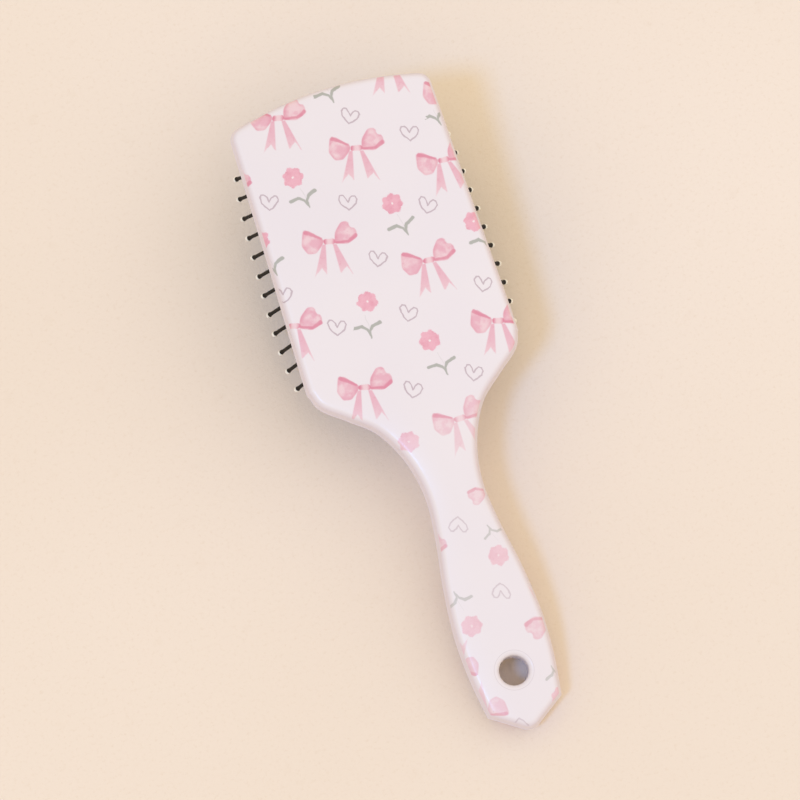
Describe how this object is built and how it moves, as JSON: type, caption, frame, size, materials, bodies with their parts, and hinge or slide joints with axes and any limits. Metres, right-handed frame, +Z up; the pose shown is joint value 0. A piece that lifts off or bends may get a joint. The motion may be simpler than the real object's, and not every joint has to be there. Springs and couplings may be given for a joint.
{
  "type": "paddle hairbrush",
  "caption": "Square paddle cushion hairbrush with a two-shell printed body, domed rubber pad, ball-tipped pins and a hanging hole in its pointed handle.",
  "frame": {"origin": "centre of the bounding box's base, on the surface that the brush lies on, pins down", "axes": "+Z up out of the brush's printed back, +Y from the handle towards the top of the head, +X across the head; the handle's end and the pin tips rest on Z = 0, so the brush is tipped by about 10 degrees about X"},
  "size_m": [0.0894, 0.243, 0.0561],
  "materials": {
    "printed_back": "glossy white plastic, printed all over with pink bows, flowers, grey leaves and small hearts",
    "printed_front": "glossy white plastic with the same print",
    "cushion_rubber": "soft satin black rubber",
    "pin_nylon": "polished black nylon",
    "ball_tip": "ivory moulded ball tips"
  },
  "bodies": {
    "shell": {"back_head": "printed_back", "back_handle": "printed_back", "front_head": "printed_front", "front_handle": "printed_front"},
    "cushion": {"cushion_pad": "cushion_rubber"},
    "column_a": {"pins_a": "pin_nylon", "ball_tips_a": "ball_tip"},
    "column_b": {"pins_b": "pin_nylon", "ball_tips_b": "ball_tip"},
    "column_c": {"pins_c": "pin_nylon", "ball_tips_c": "ball_tip"},
    "column_d": {"pins_d": "pin_nylon", "ball_tips_d": "ball_tip"},
    "column_e": {"pins_e": "pin_nylon", "ball_tips_e": "ball_tip"},
    "column_f": {"pins_f": "pin_nylon", "ball_tips_f": "ball_tip"},
    "column_g": {"pins_g": "pin_nylon", "ball_tips_g": "ball_tip"},
    "column_h": {"pins_h": "pin_nylon", "ball_tips_h": "ball_tip"},
    "column_j": {"pins_j": "pin_nylon", "ball_tips_j": "ball_tip"},
    "column_k": {"pins_k": "pin_nylon", "ball_tips_k": "ball_tip"}
  },
  "joints": [
    {"name": "cushion_press", "type": "slide", "parent": "shell", "child": "cushion", "axis": [0, -0.1801, 0.9836], "range_m": [0, 0.003], "stiffness_N_per_m": 2500},
    {"name": "pin_rock_a", "type": "hinge", "parent": "cushion", "child": "column_a", "pos_m": [-0.03078, 0.06798, 0.03471], "axis": [0, 0.9836, 0.1801], "range_deg": [-7, 4.5], "stiffness_Nm_per_rad": 0.2},
    {"name": "pin_rock_b", "type": "hinge", "parent": "cushion", "child": "column_b", "pos_m": [-0.02394, 0.06842, 0.03234], "axis": [0, 0.9836, 0.1801], "range_deg": [-7, 7], "stiffness_Nm_per_rad": 0.2},
    {"name": "pin_rock_c", "type": "hinge", "parent": "cushion", "child": "column_c", "pos_m": [-0.0171, 0.06873, 0.03062], "axis": [0, 0.9836, 0.1801], "range_deg": [-7, 7], "stiffness_Nm_per_rad": 0.2},
    {"name": "pin_rock_d", "type": "hinge", "parent": "cushion", "child": "column_d", "pos_m": [-0.01026, 0.06894, 0.02949], "axis": [0, 0.9836, 0.1801], "range_deg": [-7, 7], "stiffness_Nm_per_rad": 0.2},
    {"name": "pin_rock_e", "type": "hinge", "parent": "cushion", "child": "column_e", "pos_m": [-0.00342, 0.06904, 0.02893], "axis": [0, 0.9836, 0.1801], "range_deg": [-7, 7], "stiffness_Nm_per_rad": 0.2},
    {"name": "pin_rock_f", "type": "hinge", "parent": "cushion", "child": "column_f", "pos_m": [0.00342, 0.06904, 0.02893], "axis": [0, 0.9836, 0.1801], "range_deg": [-7, 7], "stiffness_Nm_per_rad": 0.2},
    {"name": "pin_rock_g", "type": "hinge", "parent": "cushion", "child": "column_g", "pos_m": [0.01026, 0.06894, 0.02949], "axis": [0, 0.9836, 0.1801], "range_deg": [-7, 7], "stiffness_Nm_per_rad": 0.2},
    {"name": "pin_rock_h", "type": "hinge", "parent": "cushion", "child": "column_h", "pos_m": [0.0171, 0.06873, 0.03062], "axis": [0, 0.9836, 0.1801], "range_deg": [-7, 7], "stiffness_Nm_per_rad": 0.2},
    {"name": "pin_rock_j", "type": "hinge", "parent": "cushion", "child": "column_j", "pos_m": [0.02394, 0.06842, 0.03234], "axis": [0, 0.9836, 0.1801], "range_deg": [-7, 7], "stiffness_Nm_per_rad": 0.2},
    {"name": "pin_rock_k", "type": "hinge", "parent": "cushion", "child": "column_k", "pos_m": [0.03078, 0.06798, 0.03471], "axis": [0, 0.9836, 0.1801], "range_deg": [-4.5, 7], "stiffness_Nm_per_rad": 0.2}
  ]
}
